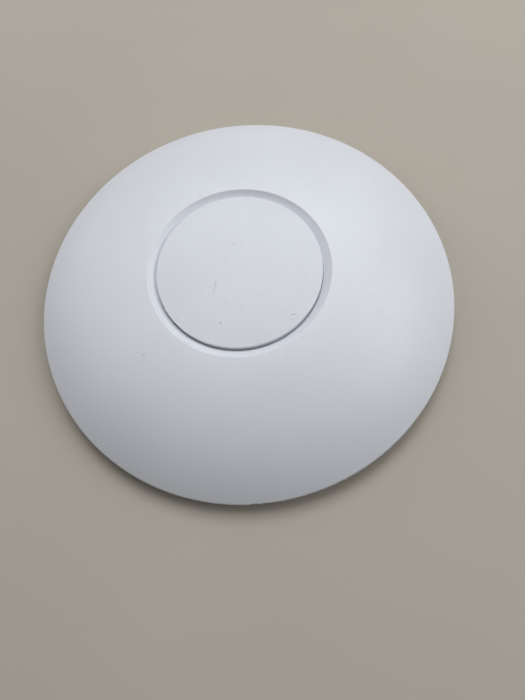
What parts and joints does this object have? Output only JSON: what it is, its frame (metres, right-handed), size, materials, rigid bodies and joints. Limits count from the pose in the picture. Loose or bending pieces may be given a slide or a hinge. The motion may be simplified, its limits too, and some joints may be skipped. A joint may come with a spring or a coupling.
{
  "type": "ceiling access point",
  "caption": "Shallow round domed wireless access point with a centre disc, a back port bay and a twist-lock ceiling bracket.",
  "frame": {"origin": "on the dome's axis at the back face of the ceiling bracket, which is the bottom of the part", "axes": "+Z out of the domed front, away from the ceiling; +Y towards the port bay and cable door; +X towards the latch release hole"},
  "size_m": [0.1966, 0.1966, 0.035],
  "materials": {
    "cover_plastic": "fine moulded satin texture",
    "disc_plastic": "fine moulded satin texture",
    "light_guide": "clear moulded, frosted underneath",
    "back_plastic": "fine spark-eroded texture",
    "bracket_plastic": "fine spark-eroded texture",
    "label_film": "silver-grey polyester film, blank",
    "screw_steel": "zinc plated",
    "circuit_board": "green solder mask",
    "spreader_aluminium": "stamped, bare",
    "pad_silicone": "soft, slightly tacky",
    "chip_resin": "moulded epoxy",
    "tinned_steel": "tin plated sheet",
    "ferrite": "sintered, ground",
    "capacitor_can": "drawn can",
    "lamp_lens": "moulded epoxy lens",
    "switch_plastic": "moulded",
    "jack_plastic": "moulded",
    "contact_gold": "gold flashed phosphor bronze"
  },
  "bodies": {
    "bracket": {"mounting_bracket": "bracket_plastic"},
    "latch": {"latch_arm": "bracket_plastic"},
    "housing": {"front_cover": "cover_plastic", "centre_disc": "disc_plastic", "light_ring": "light_guide", "back_cover": "back_plastic", "rating_label": "label_film", "cover_screws": "screw_steel", "main_board": "circuit_board", "board_screws": "screw_steel", "heat_spreader": "spreader_aluminium", "thermal_pads": "pad_silicone", "main_processor": "chip_resin", "memory_chips": "chip_resin", "flash_chip": "chip_resin", "processor_shield": "tinned_steel", "radio_chip_24": "chip_resin", "radio_chip_5": "chip_resin", "radio_shield_24": "tinned_steel", "radio_shield_5": "tinned_steel", "power_inductors": "ferrite", "ethernet_transformers": "chip_resin", "crystal_oscillators": "tinned_steel", "power_capacitors": "capacitor_can", "poe_transformer": "ferrite", "status_leds": "lamp_lens", "reset_switch": "switch_plastic", "antenna_24_a": "tinned_steel", "antenna_24_b": "tinned_steel", "antenna_24_c": "tinned_steel", "antenna_5_a": "tinned_steel", "antenna_5_b": "tinned_steel", "antenna_5_c": "tinned_steel", "ethernet_jack_main": "tinned_steel", "ethernet_jack_aux": "tinned_steel", "jack_insert_main": "jack_plastic", "jack_insert_aux": "jack_plastic", "jack_contacts_main": "contact_gold", "jack_contacts_aux": "contact_gold"},
    "door": {"cable_door": "back_plastic"},
    "button": {"reset_button": "switch_plastic"}
  },
  "joints": [
    {"name": "bracket_twist", "type": "hinge", "parent": "bracket", "child": "housing", "pos_m": [0, 0, 0.005], "axis": [0, 0, 1], "range_deg": [0, 22]},
    {"name": "latch_flex", "type": "hinge", "parent": "bracket", "child": "latch", "pos_m": [0.04374, -0.03417, 0.0018], "axis": [0, 0, 1], "range_deg": [0, 4], "stiffness_Nm_per_rad": 1.1},
    {"name": "cable_door_pull", "type": "slide", "parent": "housing", "child": "door", "axis": [0, 1, 0], "range_m": [0, 0.025]},
    {"name": "reset_press", "type": "slide", "parent": "housing", "child": "button", "axis": [0, -1, 0], "range_m": [0, 0.0003], "stiffness_N_per_m": 2000}
  ]
}
